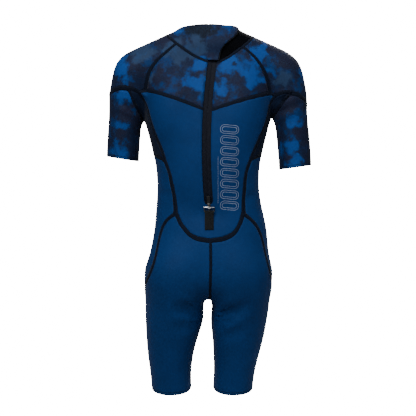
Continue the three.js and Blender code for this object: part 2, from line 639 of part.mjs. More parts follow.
// ---- the hems' inner tapes
for (const [limbs, limbName] of [[arms, "sleeve"], [legs, "leg"]]) {
  for (const side of ["left", "right"]) {
    const { pieces } = HEM_TAPE;
    const rings = [HEM_TAPE.low, HEM_TAPE.high].map((rise) =>
      hemLine(limbs, side, 180, -180, pieces, rise));
    for (const ring of rings) ring[pieces] = ring[0];
    const grid = rings[0].map((p, i) => [p, rings[1][i]]);
    add(`${limbName}_hem_tape_${side}`,
      shell(sheet(grid), -FABRIC - HEM_TAPE.gap, -FABRIC - HEM_TAPE.gap - HEM_TAPE.thick), black);
  }
}

// ---- the zip
// A solid strip of the zip between two distances across it, two depths and two heights.
function zipStrip(from, to, low, high, bottom, top) {
  const steps = Math.max(1, Math.round((top - bottom) / 22));
  const layer = (w) => Array.from({ length: steps + 1 }, (_, i) => [from, to].map((u) =>
    zipPoint(u, w, bottom + ((top - bottom) * i) / steps)));
  const { faces, edges, points } = sheet(layer(high));
  return solidBetween(points, sheet(layer(low)).points, faces, edges);
}
add("backing_flap", zipStrip(-FLAP.half, FLAP.half, FLAP.low, FLAP.high, FLAP.bottom, FLAP.top), black);
for (const side of ["left", "right"]) {
  const sign = signOf(side);
  add("zip_tape_" + side, zipStrip(sign * TAPE.inner, sign * TAPE.outer, TAPE.low, TAPE.high,
    TAPE.bottom, TAPE.top), black);
  add("zip_teeth_" + side, zipStrip(sign * CHAIN.inner, sign * CHAIN.outer, CHAIN.low, CHAIN.high,
    CHAIN.bottom, CHAIN.top), black);
  add("zip_top_stop_" + side, zipStrip(sign * CHAIN.inner, sign * CHAIN.outer, CHAIN.low, CHAIN.high,
    CHAIN.top + AIR, CHAIN.top + AIR + STOP_LENGTH), painted);
}
add("zip_bottom_stop", zipStrip(-CHAIN.outer, CHAIN.outer, CHAIN.low, CHAIN.high,
  CHAIN.bottom - AIR - STOP_LENGTH, CHAIN.bottom - AIR), painted);

// ---- the slider, its link, the ring and the leash
// Each is drawn with x across, y inwards and z up the back, then turned to lie on the back.
const shapeOf = (points) => new THREE.Shape(points.map(([a, b]) => new THREE.Vector2(a, b)));
const block = (shape, depth) => new THREE.ExtrudeGeometry(shape, { depth, bevelEnabled: false });
const ACROSS = new THREE.Matrix4().makeBasis(at(0, 0, 1), at(0, -1, 0), at(1, 0, 0));

// A strap's side view, as [up, out] points, made as wide as the strap.
function strap(outline, hole, width) {
  const shape = shapeOf(outline);
  shape.holes.push(new THREE.Path(hole.map(([a, b]) => new THREE.Vector2(a, b))));
  return block(shape, width).applyMatrix4(ACROSS).translate(-width / 2, 0, 0);
}
const eyeHole = [[-EYE, RING.lift - EYE], [EYE, RING.lift - EYE], [EYE, RING.lift + EYE],
  [-EYE, RING.lift + EYE]];

const slider = new THREE.Group();
slider.position.copy(zipPoint(0, 0, SLIDER.low));
slider.quaternion.setFromAxisAngle(zipAxis, zipAngle(SLIDER.low));
suit.add(slider);
const groove = SLIDER.half - SLIDER.wall;
add("slider_body", block(shapeOf([[-SLIDER.half, -CHAIN.low], [-SLIDER.half, -SLIDER.roof + 1],
  [-SLIDER.half + 1, -SLIDER.roof], [SLIDER.half - 1, -SLIDER.roof], [SLIDER.half, -SLIDER.roof + 1],
  [SLIDER.half, -CHAIN.low], [groove, -CHAIN.low], [groove, -CHAIN.high - AIR],
  [-groove, -CHAIN.high - AIR], [-groove, -CHAIN.low]]), SLIDER.length), painted, slider);

// The ring hangs along the chord of the hollow below the zip.
const ringTop = back(3, RING.height);
const leashFoot = back(4, LEASH.bottom);
const hangUp = ringTop.clone().sub(leashFoot).setX(0).normalize();
const hangIn = at(0, hangUp.z, -hangUp.y);
const ringCentre = ringTop.clone().addScaledVector(hangIn, -RING.lift);

slider.updateMatrixWorld(true);
const linkEye = slider.worldToLocal(ringCentre.clone());
const eyeUp = linkEye.z;
const eyeOut = -linkEye.y;
const reach = EYE + LINK.ply;
add("slider_link", strap(
  [[-AIR, 1], [-AIR, SLIDER.roof + 0.4], [eyeUp + reach, eyeOut + reach],
    [eyeUp - reach, eyeOut + reach], [eyeUp - reach, eyeOut - reach], [eyeUp + reach, eyeOut - reach]],
  [[eyeUp - EYE, eyeOut - EYE], [eyeUp + EYE, eyeOut - EYE], [eyeUp + EYE, eyeOut + EYE],
    [eyeUp - EYE, eyeOut + EYE]], LINK.width), metal, slider);

const hanging = new THREE.Group();
hanging.position.copy(ringTop);
hanging.quaternion.setFromRotationMatrix(new THREE.Matrix4().makeBasis(at(1, 0, 0), hangIn, hangUp));
suit.add(hanging);
const ringHalf = RING.width / 2;
const ringShape = shapeOf([[-ringHalf, RING.bar / 2], [-ringHalf, -RING.drop - RING.bar / 2],
  [ringHalf, -RING.drop - RING.bar / 2], [ringHalf, RING.bar / 2]]);
const holeHalf = ringHalf - RING.arm;
ringShape.holes.push(new THREE.Path([[-holeHalf, -RING.bar / 2], [holeHalf, -RING.bar / 2],
  [holeHalf, -RING.drop + RING.bar / 2], [-holeHalf, -RING.drop + RING.bar / 2]].map(
  ([a, b]) => new THREE.Vector2(a, b))));
add("pull_ring", block(ringShape, RING.thick).rotateX(Math.PI / 2)
  .translate(0, RING.thick / 2 - RING.lift, 0), metal, hanging);

const leashLength = ringTop.distanceTo(leashFoot) - RING.drop;
const leashReach = EYE + LEASH.ply;
const leashFlat = RING.lift - leashReach + 2 * LEASH.ply; // its two plies lie together below the eye
add("leash", strap(
  [[leashReach, RING.lift - leashReach + 0.6], [leashReach, RING.lift + leashReach - 0.8],
    [leashReach - 0.8, RING.lift + leashReach], [-leashReach, RING.lift + leashReach],
    [-3 * leashReach, leashFlat + 0.9], [-5 * leashReach, leashFlat],
    [-leashLength, leashFlat], [-leashLength, RING.lift - leashReach],
    [leashReach - 0.6, RING.lift - leashReach]], eyeHole, LEASH.width)
  .translate(0, 0, -RING.drop), black, hanging);

suit.position.set(0, -NECK_DEPTH, -NECK_HEIGHT);
export default suit;
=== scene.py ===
import math

import bpy
from mathutils import Matrix, Vector


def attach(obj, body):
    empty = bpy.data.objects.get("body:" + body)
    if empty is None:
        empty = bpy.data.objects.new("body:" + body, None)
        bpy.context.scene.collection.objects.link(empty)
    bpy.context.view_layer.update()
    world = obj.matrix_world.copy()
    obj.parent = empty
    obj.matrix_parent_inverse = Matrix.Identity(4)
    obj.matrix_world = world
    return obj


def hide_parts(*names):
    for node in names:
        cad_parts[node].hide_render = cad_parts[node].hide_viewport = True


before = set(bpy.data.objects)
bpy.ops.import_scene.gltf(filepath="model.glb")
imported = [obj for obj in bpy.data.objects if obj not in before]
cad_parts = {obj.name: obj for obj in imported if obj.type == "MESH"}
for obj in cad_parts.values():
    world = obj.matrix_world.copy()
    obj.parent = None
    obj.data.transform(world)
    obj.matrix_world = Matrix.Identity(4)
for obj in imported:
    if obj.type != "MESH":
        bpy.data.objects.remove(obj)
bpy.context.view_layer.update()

# ---- The studio
# A pale floor that sweeps up into a pale round wall, a big soft light above and to the left of the camera,
# a weaker one to the right, and a camera level with the suit's waist, looking at its back.
CAMERA_PLACE = (0, -2.388, -0.414)
camera_data = bpy.data.cameras.new("camera")
camera_data.sensor_width = 36
camera_data.lens = 79.9
camera = bpy.data.objects.new("camera", camera_data)
camera.location = CAMERA_PLACE
camera.rotation_euler = (math.radians(90), 0, 0)
bpy.context.scene.collection.objects.link(camera)
bpy.context.scene.camera = camera

FLOOR_Z = -0.99
FLOOR_RADIUS = 3.6
SWEEP_RADIUS = 0.9
SWEEP_STEPS = 10
WALL_TALL = 5
bpy.ops.object.select_all(action="DESELECT")
bpy.ops.mesh.primitive_circle_add(vertices=72, radius=FLOOR_RADIUS, fill_type="NGON", location=(0, 0, FLOOR_Z))
floor = bpy.context.object
floor.name = floor.data.name = "studio_floor"
bpy.ops.object.transform_apply(location=True, rotation=True, scale=True)
bpy.ops.object.mode_set(mode="EDIT")
bpy.ops.mesh.select_mode(type="EDGE")
bpy.ops.mesh.region_to_loop()
reach, rise = FLOOR_RADIUS, 0.0
for step in range(1, SWEEP_STEPS + 1):
    turn = math.radians(90 * step / SWEEP_STEPS)
    wider, higher = FLOOR_RADIUS + SWEEP_RADIUS * math.sin(turn), SWEEP_RADIUS * (1 - math.cos(turn))
    bpy.ops.mesh.extrude_region_move(TRANSFORM_OT_translate={"value": (0, 0, higher - rise)})
    bpy.ops.transform.resize(value=(wider / reach, wider / reach, 1), center_override=(0, 0, FLOOR_Z))
    reach, rise = wider, higher
bpy.ops.mesh.extrude_region_move(TRANSFORM_OT_translate={"value": (0, 0, WALL_TALL)})
bpy.ops.object.mode_set(mode="OBJECT")
bpy.ops.object.shade_smooth()

# The camera sees the paper glow; the suit sees it as plain paper lit by the lamps.
PAPER_GLOW, GLOW_SHARE = 30.0, 0.75
pale = bpy.data.materials.new("studio_paper")
pale.use_nodes = True
nodes, links = pale.node_tree.nodes, pale.node_tree.links
paper = nodes["Principled BSDF"]
paper.inputs["Base Color"].default_value = (0.42, 0.43, 0.44, 1)
paper.inputs["Roughness"].default_value = 0.9
glow = nodes.new("ShaderNodeEmission")
glow.inputs["Color"].default_value = (1, 1, 1, 1)
glow.inputs["Strength"].default_value = PAPER_GLOW
seen = nodes.new("ShaderNodeLightPath")
mix = nodes.new("ShaderNodeMixShader")
share = nodes.new("ShaderNodeMath")
share.operation = "MULTIPLY"
share.inputs[1].default_value = GLOW_SHARE
links.new(seen.outputs["Is Camera Ray"], share.inputs[0])
links.new(share.outputs[0], mix.inputs[0])
links.new(paper.outputs[0], mix.inputs[1])
links.new(glow.outputs[0], mix.inputs[2])
links.new(mix.outputs[0], nodes["Material Output"].inputs["Surface"])
floor.data.materials.append(pale)

LIGHTS_AIM = Vector((0, 0, -0.25))
for name, place, size, power in (("key_light", (-0.50, -1.60, 1.15), 1.1, 36),
                                 ("fill_light", (1.5, -1.9, 1.1), 1.2, 11),
                                 ("front_light", (0.5, 2.0, 1.2), 1.4, 34)):
    light_data = bpy.data.lights.new(name, "AREA")
    light_data.size = size
    light_data.energy = power
    light = bpy.data.objects.new(name, light_data)
    light.location = place
    light.rotation_euler = (LIGHTS_AIM - Vector(place)).to_track_quat("-Z", "Y").to_euler()
    bpy.context.scene.collection.objects.link(light)

world = bpy.data.worlds.new("studio_air")
bpy.context.scene.world = world
world.use_nodes = True
world.node_tree.nodes["Background"].inputs["Color"].default_value = (0.9, 0.95, 1, 1)
world.node_tree.nodes["Background"].inputs["Strength"].default_value = 0.3


# ---- The foam rubber panels
# Each is cut flat from 3 mm foam rubber with nylon jersey glued to both faces, and sewn to the next edge
# to edge. The shoulders, yokes, sleeves and collar are cut from printed jersey, the rest from plain.
PRINTED = ["front_chest", "collar_left", "collar_front"]
PLAIN = ["back_panel", "front_body"]
for side in ("left", "right"):
    PRINTED += [piece + side for piece in ("yoke_", "shoulder_", "sleeve_", "underarm_panel_")]
    PLAIN += [piece + side for piece in ("side_panel_", "seat_and_leg_", "front_leg_")]
BLACK = ["collar_right"]
PANELS = PRINTED + PLAIN + BLACK
FOAM = 0.003
SAME_POINT, SAME_LENGTH = 1e-5, 2e-5


def choose(*pieces):
    bpy.ops.object.select_all(action="DESELECT")
    for piece in pieces:
        piece.select_set(True)
    bpy.context.view_layer.objects.active = pieces[0]


def copy_of(node, name):
    """A copy of a CAD node's mesh as a new piece, with its triangles joined up."""
    piece = bpy.data.objects.new(name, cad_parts[node].data.copy())
    piece.data.name = name
    bpy.context.scene.collection.objects.link(piece)
    piece.data.materials.clear()
    choose(piece)
    bpy.ops.mesh.customdata_custom_splitnormals_clear()
    bpy.ops.object.mode_set(mode="EDIT")
    bpy.ops.mesh.select_mode(type="VERT")
    bpy.ops.mesh.select_all(action="SELECT")
    bpy.ops.mesh.remove_doubles(threshold=SAME_POINT)
    bpy.ops.mesh.select_all(action="DESELECT")
    bpy.ops.object.mode_set(mode="OBJECT")
    return piece


def outer_face(node):
    """The side of a panel that shows. Its rim, made of triangles with one side as long as the panel is
    thick, is cut away, and of the two skins left it is the one that faces away from the body's middle."""
    piece = copy_of(node, node)
    bpy.context.tool_settings.mesh_select_mode = (False, False, True)
    points = [vertex.co for vertex in piece.data.vertices]
    for face in piece.data.polygons:
        face.select = any(abs((points[i] - points[j]).length - FOAM) < SAME_LENGTH for i, j in face.edge_keys)
    bpy.ops.object.mode_set(mode="EDIT")
    bpy.ops.mesh.delete(type="FACE")
    bpy.ops.mesh.select_all(action="SELECT")
    bpy.ops.mesh.separate(type="LOOSE")
    bpy.ops.object.mode_set(mode="OBJECT")
    parts = sorted(bpy.context.selected_objects, key=lambda part: sum(
        f.area * (f.normal.x * f.center.x + f.normal.y * f.center.y) for f in part.data.polygons))
    kept = parts.pop()
    for part in parts:
        bpy.data.objects.remove(part)
    kept.data.materials.clear()
    kept.data.materials.append(bpy.data.materials.new("cut_" + node))
    return kept


def finish_with(piece, kind, name, **settings):
    """Adds a modifier to a piece and applies it."""
    choose(piece)
    modifier = piece.modifiers.new(name, kind)
    for key, value in settings.items():
        setattr(modifier, key, value)
    bpy.ops.object.modifier_apply(modifier=modifier.name)


# The panels' outer faces are joined along their cut edges into one skin, so that both sides of a seam move
# together. It is parted again at the seams when its shape is done.
EDGE_GAP = 0.0026
skins = [outer_face(node) for node in PANELS]
choose(*skins)
bpy.ops.object.join()
skin = bpy.context.object
skin.name = "skin"
bpy.ops.object.mode_set(mode="EDIT")
bpy.ops.mesh.select_mode(type="VERT")
bpy.ops.mesh.select_all(action="SELECT")
bpy.ops.mesh.remove_doubles(threshold=EDGE_GAP)
bpy.ops.mesh.tris_convert_to_quads(face_threshold=math.radians(80), shape_threshold=math.radians(80),
                                   materials=True)
bpy.ops.object.mode_set(mode="OBJECT")

# The seams: edges where two cuts of fabric meet. Some are sewn with a wide flat stitch, some narrow.
SEAM_HALF = 0.0029
RAGLAN, NARROW, MIDDLE = 0.36, 0.5, 0.8
cut_names = [material.name[len("cut_"):] for material in skin.data.materials]
skin.data.materials.append(bpy.data.materials.new("cut_seam"))
sides = {}
for face in skin.data.polygons:
    for key in face.edge_keys:
        sides.setdefault(key, []).append(cut_names[face.material_index])
weight = skin.data.attributes.new("bevel_weight_edge", "FLOAT", "EDGE")
for edge in skin.data.edges:
    pair = sides[edge.key]
    if len(pair) == 2 and pair[0] != pair[1]:
        both = " ".join(pair)
        if "yoke" in both and "shoulder" in both:
            weight.data[edge.index].value = RAGLAN
        elif "collar" in both:
            weight.data[edge.index].value = NARROW
        elif "back_panel" in both or "yoke" in both or ("shoulder" in both and "sleeve" in both):
            weight.data[edge.index].value = 1
        else:
            weight.data[edge.index].value = MIDDLE
finish_with(skin, "BEVEL", "seams", width=SEAM_HALF, segments=2, limit_method="WEIGHT",
            material=len(cut_names), use_clamp_overlap=False, profile=0.5)

# The stitch fills each seam with a low rounded rib, so the middle of each ribbon is lifted.
RIB = 0.0013
seam_slot = len(cut_names)
around = {}
for face in skin.data.polygons:
    for i in face.vertices:
        around.setdefault(i, []).append(face)
lifts = {i: RIB * skin.data.vertices[i].normal for i, near in around.items()
         if all(face.material_index == seam_slot for face in near)}
for i, lift in lifts.items():
    skin.data.vertices[i].co += lift
finish_with(skin, "SUBSURF", "smooth", levels=2, render_levels=2, boundary_smooth="PRESERVE_CORNERS")

# The inner thighs are fuller just under the crotch, the left one more than the right.
THIGH_UP, THIGH_TALL, LEFT_SWELL, RIGHT_SWELL = -0.695, 0.042, 0.0085, 0.0045
for vertex in skin.data.vertices:
    spot = vertex.co
    if -0.80 < spot.z < -0.62 and abs(spot.x) < 0.06:
        inward = max(-math.copysign(1, spot.x) * vertex.normal.x, 0)
        swell = math.exp(-((spot.z - THIGH_UP) / THIGH_TALL) ** 2) * inward
        spot.x += swell * (LEFT_SWELL if spot.x < 0 else -RIGHT_SWELL)

# Folds in the rubber: each runs from one point to another, with its depth and its half width. It is a
# groove with a swelling along each side, and fades out at its ends.
FOLDS = [((-0.236, -0.03, -0.142), (-0.196, -0.06, -0.158), 0.0030, 0.0065),
         ((-0.222, -0.05, -0.152), (-0.180, -0.04, -0.176), 0.0032, 0.0060),
         ((-0.216, -0.05, -0.178), (-0.182, -0.03, -0.196), 0.0020, 0.0070),
         ((0.174, -0.04, -0.146), (0.216, -0.06, -0.122), 0.0028, 0.0060),
         ((0.176, -0.03, -0.172), (0.238, -0.05, -0.150), 0.0034, 0.0065),
         ((0.186, -0.03, -0.200), (0.226, -0.05, -0.188), 0.0018, 0.0080),
         ((0.012, -0.09, -0.702), (0.100, -0.10, -0.655), 0.0066, 0.0150),
         ((-0.020, -0.09, -0.690), (-0.085, -0.11, -0.662), 0.0050, 0.0160),
         ((-0.028, -0.08, -0.722), (-0.080, -0.09, -0.708), 0.0028, 0.0120),
         ((0.030, -0.08, -0.742), (0.085, -0.09, -0.722), 0.0020, 0.0120),
         ((-0.010, 0.09, -0.610), (-0.095, 0.09, -0.540), 0.0034, 0.0110),
         ((0.010, 0.09, -0.610), (0.095, 0.09, -0.540), 0.0034, 0.0110),
         ((-0.085, 0.09, -0.330), (0.060, 0.11, -0.338), 0.0018, 0.0140),
         ((-0.150, 0.02, -0.350), (-0.110, 0.07, -0.322), 0.0024, 0.0100),
         ((0.150, 0.02, -0.350), (0.110, 0.07, -0.322), 0.0024, 0.0100),
         ((-0.128, -0.04, -0.372), (-0.094, -0.08, -0.386), 0.0018, 0.0100),
         ((0.128, -0.04, -0.378), (0.094, -0.08, -0.392), 0.0018, 0.0100)]
for start, end, depth, half in FOLDS:
    start, end = Vector(start), Vector(end)
    run = end - start
    reach = run.length / 2 + 4 * half
    for vertex in skin.data.vertices:
        if (vertex.co - (start + end) / 2).length > reach:
            continue
        along = (vertex.co - start).dot(run) / run.length_squared
        held = start + run * min(max(along, 0), 1)
        away = vertex.co - held
        flat = away - vertex.normal * away.dot(vertex.normal)
        taper = math.sin(math.pi * min(max(along * 0.9 + 0.05, 0), 1)) ** 0.7
        side = flat.dot(run.cross(vertex.normal).normalized()) / half
        fade = math.exp(-(away.length / (3.4 * half + run.length * 0.15)) ** 4)
        wave = -math.exp(-side * side) + 0.55 * math.exp(-(side - 1.9) ** 2) + 0.35 * math.exp(-(side + 2) ** 2)
        vertex.co += vertex.normal * (depth * wave * taper * fade)
skin.data.update()

choose(skin)
bpy.ops.object.shade_smooth()
bpy.ops.object.mode_set(mode="EDIT")
bpy.ops.mesh.select_all(action="SELECT")
bpy.ops.mesh.separate(type="MATERIAL")
bpy.ops.object.mode_set(mode="OBJECT")
cuts = {}
for piece in bpy.context.selected_objects:
    cut = piece.data.materials[piece.data.polygons[0].material_index].name[len("cut_"):]
    piece.name = piece.data.name = cut + "_cloth"
    piece.data.materials.clear()
    for face in piece.data.polygons:
        face.material_index = 0
    cuts[cut] = piece


# Jersey: fine knitted nylon. A knit group gives its loops, its uneven shade and its heathered specks.
def put(tree, kind, values=None, **settings):
    """Adds a node, sets it, and links or sets each of its named or numbered inputs."""
    node = tree.nodes.new(kind)
    for key, value in settings.items():
        setattr(node, key, value)
    for key, value in (values or {}).items():
        if isinstance(value, bpy.types.NodeSocket):
            tree.links.new(value, node.inputs[key])
        else:
            node.inputs[key].default_value = value
    return node


def new_group(name, inputs, outputs):
    tree = bpy.data.node_groups.new(name, "ShaderNodeTree")
    for label, kind in inputs:
        tree.interface.new_socket(label, in_out="INPUT", socket_type="NodeSocket" + kind)
    for label, kind in outputs:
        tree.interface.new_socket(label, in_out="OUTPUT", socket_type="NodeSocket" + kind)
    return tree, tree.nodes.new("NodeGroupInput").outputs, tree.nodes.new("NodeGroupOutput").inputs


def blend_colours(tree, share, first, second):
    return put(tree, "ShaderNodeMix", {0: share, 6: first, 7: second}, data_type="RGBA").outputs[2]


def sums(tree, operation, first, second=0.0, clamp=False):
    return put(tree, "ShaderNodeMath", {0: first, 1: second}, operation=operation, use_clamp=clamp).outputs[0]


knit, knit_in, knit_out = new_group("jersey_knit", [("Pitch", "Float")],
                                    [("Height", "Float"), ("Shade", "Float"), ("Specks", "Float")])
place = put(knit, "ShaderNodeTexCoord").outputs["Object"]
wave_scale = sums(knit, "DIVIDE", 0.314, knit_in["Pitch"])
courses = put(knit, "ShaderNodeTexWave", {"Vector": place, "Scale": wave_scale, "Distortion": 1.2,
                                          "Detail": 1, "Detail Scale": 2}, bands_direction="Z")
wales = put(knit, "ShaderNodeTexWave", {"Vector": place, "Scale": wave_scale, "Distortion": 1.2,
                                        "Detail": 1, "Detail Scale": 2}, bands_direction="DIAGONAL")
cloud = put(knit, "ShaderNodeTexNoise", {"Vector": place, "Scale": 14, "Detail": 5, "Roughness": 0.6})
grain = put(knit, "ShaderNodeTexNoise", {"Vector": place, "Scale": 620, "Detail": 2, "Roughness": 0.6})
loops = sums(knit, "MULTIPLY", courses.outputs["Fac"], wales.outputs["Fac"])
knit.links.new(sums(knit, "ADD", loops, sums(knit, "MULTIPLY", grain.outputs["Fac"], 0.8)), knit_out["Height"])
knit.links.new(cloud.outputs["Fac"], knit_out["Shade"])
knit.links.new(put(knit, "ShaderNodeMapRange", {"Value": grain.outputs["Fac"], "From Min": 0.42,
                                                "From Max": 0.62}).outputs[0], knit_out["Specks"])


def cloth_material(name, colour, speck_colour, speck_share=0.25, roughness=0.72, pitch=0.0009, bump=0.00012,
                   gloss=0.16, sheen=0.05):
    """Knitted cloth of one colour or of the colour a socket gives. colour is a function of the node tree."""
    material = bpy.data.materials.new(name)
    material.use_nodes = True
    tree = material.node_tree
    shader = tree.nodes["Principled BSDF"]
    weave = put(tree, "ShaderNodeGroup", node_tree=knit)
    weave.inputs["Pitch"].default_value = pitch
    base = colour(tree) if callable(colour) else (*colour, 1)
    specks = sums(tree, "MULTIPLY", weave.outputs["Specks"], speck_share)
    dark = blend_colours(tree, sums(tree, "MULTIPLY", weave.outputs["Shade"], 0.5), base, (0, 0.001, 0.004, 1))
    tree.links.new(blend_colours(tree, specks, dark, (*speck_colour, 1)), shader.inputs["Base Color"])
    tree.links.new(sums(tree, "MULTIPLY_ADD", weave.outputs["Specks"], -0.12), shader.inputs["Roughness"])
    shader.inputs["Roughness"].links[0].from_node.inputs[2].default_value = roughness
    shader.inputs["Specular IOR Level"].default_value = gloss
    shader.inputs["Sheen Weight"].default_value = sheen
    shader.inputs["Sheen Roughness"].default_value = 0.4
    height = put(tree, "ShaderNodeBump", {"Height": weave.outputs["Height"], "Distance": bump, "Strength": 0.8})
    tree.links.new(height.outputs["Normal"], shader.inputs["Normal"])
    return material


NAVY = (0.0015, 0.043, 0.185)
plain_jersey = cloth_material("plain_jersey", NAVY, (0.004, 0.070, 0.250))
black_jersey = cloth_material("black_jersey", (0.0004, 0.0004, 0.0010), (0.002, 0.002, 0.004),
                              gloss=0.05, sheen=0)
lining = cloth_material("lining", (0.006, 0.006, 0.008), (0.016, 0.017, 0.02), roughness=0.9, pitch=0.0016,
                        bump=0.0003)
foam_edge = cloth_material("foam_edge", (0.004, 0.004, 0.005), (0.010, 0.010, 0.011), roughness=0.95,
                           pitch=0.0006)

# The outline motif beside the zip: a column of plain double outlines with round ends, printed in a pale
# ink, and a row of small ticks next to it. It stands where a maker would print a name.
motif, motif_in, motif_out = new_group("outline_motif", [("Middle", "Vector")], [("Ink", "Float")])
place = put(motif, "ShaderNodeTexCoord").outputs["Object"]
local = put(motif, "ShaderNodeVectorMath", {0: place, 1: motif_in["Middle"]}, operation="SUBTRACT").outputs[0]
parts = put(motif, "ShaderNodeSeparateXYZ", {0: local}).outputs
PITCH, HALF_LONG, HALF_TALL, INK_HALF = 0.0270, 0.0128, 0.0006, 0.00055
OUTLINES, LEAN, SOFT = 8, 0.0009, 0.0002
step = sums(motif, "DIVIDE", parts["Z"], PITCH)
count = sums(motif, "FLOOR", sums(motif, "ADD", step, 0.5))
tall = sums(motif, "MULTIPLY", sums(motif, "SUBTRACT", step, count), PITCH)
lean = sums(motif, "MULTIPLY", sums(motif, "SINE", sums(motif, "MULTIPLY", parts["X"], 130)), LEAN)
tall = sums(motif, "ADD", tall, lean)
long_gap = sums(motif, "MAXIMUM", sums(motif, "SUBTRACT", sums(motif, "ABSOLUTE", parts["X"]), HALF_LONG), 0.0)
tall_gap = sums(motif, "MAXIMUM", sums(motif, "SUBTRACT", sums(motif, "ABSOLUTE", tall), HALF_TALL), 0.0)
far = sums(motif, "SQRT", sums(motif, "ADD", sums(motif, "POWER", long_gap, 2.0),
                               sums(motif, "POWER", tall_gap, 2.0)))
inks = []
for outline in (0.0100, 0.0052):
    off = sums(motif, "ABSOLUTE", sums(motif, "SUBTRACT", far, outline))
    inks.append(put(motif, "ShaderNodeMapRange", {"Value": off, "From Min": INK_HALF + SOFT, "From Max":
                    INK_HALF - SOFT}).outputs[0])
ink = sums(motif, "MAXIMUM", *inks)
inside = sums(motif, "LESS_THAN", sums(motif, "ABSOLUTE", sums(motif, "ADD", count, 0.5)), OUTLINES / 2)
TICK_PITCH, TICKS_ACROSS, TICKS_DOWN, TICKS_HALF = 0.0042, 0.0285, 0.045, 0.058
tick_step = sums(motif, "FRACT", sums(motif, "DIVIDE", parts["Z"], TICK_PITCH))
tick = sums(motif, "LESS_THAN", tick_step, 0.62)
tick = sums(motif, "MULTIPLY", tick, sums(motif, "LESS_THAN", sums(
    motif, "ABSOLUTE", sums(motif, "ADD", parts["X"], TICKS_ACROSS)), 0.0005))
tick = sums(motif, "MULTIPLY", tick, sums(motif, "LESS_THAN", sums(
    motif, "ABSOLUTE", sums(motif, "ADD", parts["Z"], TICKS_DOWN)), TICKS_HALF))
both = sums(motif, "ADD", sums(motif, "MULTIPLY", ink, inside), tick, clamp=True)
motif.links.new(both, motif_out["Ink"])


def navy_with_motif(tree):
    """Plain navy with the motif's ink over it, to the right of the zip."""
    print_group = put(tree, "ShaderNodeGroup", node_tree=motif)
    print_group.inputs["Middle"].default_value = (0.0535, 0, -0.300)
    share = sums(tree, "MULTIPLY", print_group.outputs["Ink"], 0.85)
    return blend_colours(tree, share, (*NAVY, 1), (0.42, 0.50, 0.66, 1))


back_jersey = cloth_material("back_jersey", navy_with_motif, (0.004, 0.070, 0.250), speck_share=0.12)

# The print: clouds of bright blue and dark navy dyed over a brown navy ground, with slate clouds as painted sheen
# and near-black clouds at the collar's top as painted shade. Each cloud has a middle across and up the suit, a
# radius and a colour, and a distorted edge.
cloud_group, cloud_in, cloud_out = new_group("dye_cloud", [("Place", "Vector"), ("Middle", "Vector"), ("Radius", "Float")],
                                 [("Mask", "Float")])
reach = put(cloud_group, "ShaderNodeVectorMath", {0: cloud_in["Place"], 1: cloud_in["Middle"]}, operation="DISTANCE")
edge_in = sums(cloud_group, "SUBTRACT", cloud_in["Radius"], reach.outputs["Value"])
cloud_group.links.new(put(cloud_group, "ShaderNodeMapRange", {"Value": edge_in, "From Min": -0.0065, "From Max": 0.0075},
                  interpolation_type="SMOOTHSTEP").outputs[0], cloud_out["Mask"])
BLUE, DEEP_BLUE, INKY = (0.001, 0.085, 0.400), (0.002, 0.040, 0.180), (0.006, 0.011, 0.048)
# Slate stands for painted sheen and the near-black navy for painted shade; the other colours are the print's dyes.
BROWN, PAINTED_SHEEN_SLATE, PAINTED_SHADE_NAVY = (0.014, 0.011, 0.036), (0.038, 0.088, 0.200), (0.0020, 0.0030, 0.0110)
# The two near-black clouds at the collar's top and the inky cloud on the tab by the zip's top are painted shade;
# the slate clouds are painted sheen where light catches the knit.
CLOUDS = [(-0.026, 0.034, 0.028, PAINTED_SHADE_NAVY), (0.006, 0.036, 0.024, PAINTED_SHADE_NAVY), (0.020, -0.004, 0.024, INKY),
          (-0.072, 0.034, 0.018, BLUE), (-0.086, -0.016, 0.030, PAINTED_SHEEN_SLATE), (-0.036, -0.014, 0.028, PAINTED_SHEEN_SLATE),
          (-0.138, -0.060, 0.014, DEEP_BLUE), (-0.034, -0.105, 0.028, BLUE),
          (-0.014, -0.136, 0.022, BLUE), (-0.020, -0.060, 0.024, BLUE), (-0.090, -0.118, 0.022, DEEP_BLUE),
          (-0.118, -0.082, 0.020, BROWN), (-0.062, -0.080, 0.014, INKY), (-0.004, -0.090, 0.012, PAINTED_SHEEN_SLATE),
          (0.060, -0.052, 0.030, BLUE), (0.126, -0.030, 0.026, BLUE), (0.106, -0.082, 0.032, BLUE),
          (0.024, -0.108, 0.028, BLUE), (0.022, -0.146, 0.020, BLUE), (0.072, -0.050, 0.010, INKY),
          (0.080, -0.104, 0.014, INKY), (0.042, -0.120, 0.010, INKY), (0.118, -0.116, 0.011, INKY),
          (0.098, -0.060, 0.006, INKY), (0.054, 0.044, 0.014, BLUE), (0.034, 0.026, 0.008, DEEP_BLUE),
          (-0.165, -0.024, 0.032, PAINTED_SHEEN_SLATE), (-0.221, -0.058, 0.026, BLUE), (-0.206, -0.094, 0.014, BLUE),
          (-0.198, -0.070, 0.012, INKY), (-0.114, 0.010, 0.018, BROWN), (-0.150, -0.080, 0.014, PAINTED_SHEEN_SLATE),
          (0.145, -0.020, 0.018, BLUE), (0.160, -0.060, 0.014, BLUE), (0.176, -0.008, 0.024, BROWN),
          (0.204, -0.044, 0.026, BROWN), (0.184, -0.088, 0.022, PAINTED_SHEEN_SLATE), (0.240, -0.066, 0.014, BLUE),
          (0.216, -0.092, 0.010, DEEP_BLUE), (-0.210, -0.132, 0.020, BLUE), (-0.212, -0.170, 0.022, BROWN),
          (-0.218, -0.204, 0.014, BLUE), (-0.242, -0.190, 0.010, DEEP_BLUE), (-0.222, -0.230, 0.016, BROWN),
          (-0.230, -0.266, 0.020, BLUE), (-0.198, -0.262, 0.012, INKY), (0.196, -0.150, 0.034, BROWN),
          (0.218, -0.198, 0.016, BLUE), (0.240, -0.178, 0.010, DEEP_BLUE), (0.208, -0.254, 0.022, BLUE),
          (0.230, -0.222, 0.011, BROWN), (0.248, -0.250, 0.012, BROWN), (0.224, -0.298, 0.024, BLUE),
          (0.240, -0.276, 0.008, INKY)]


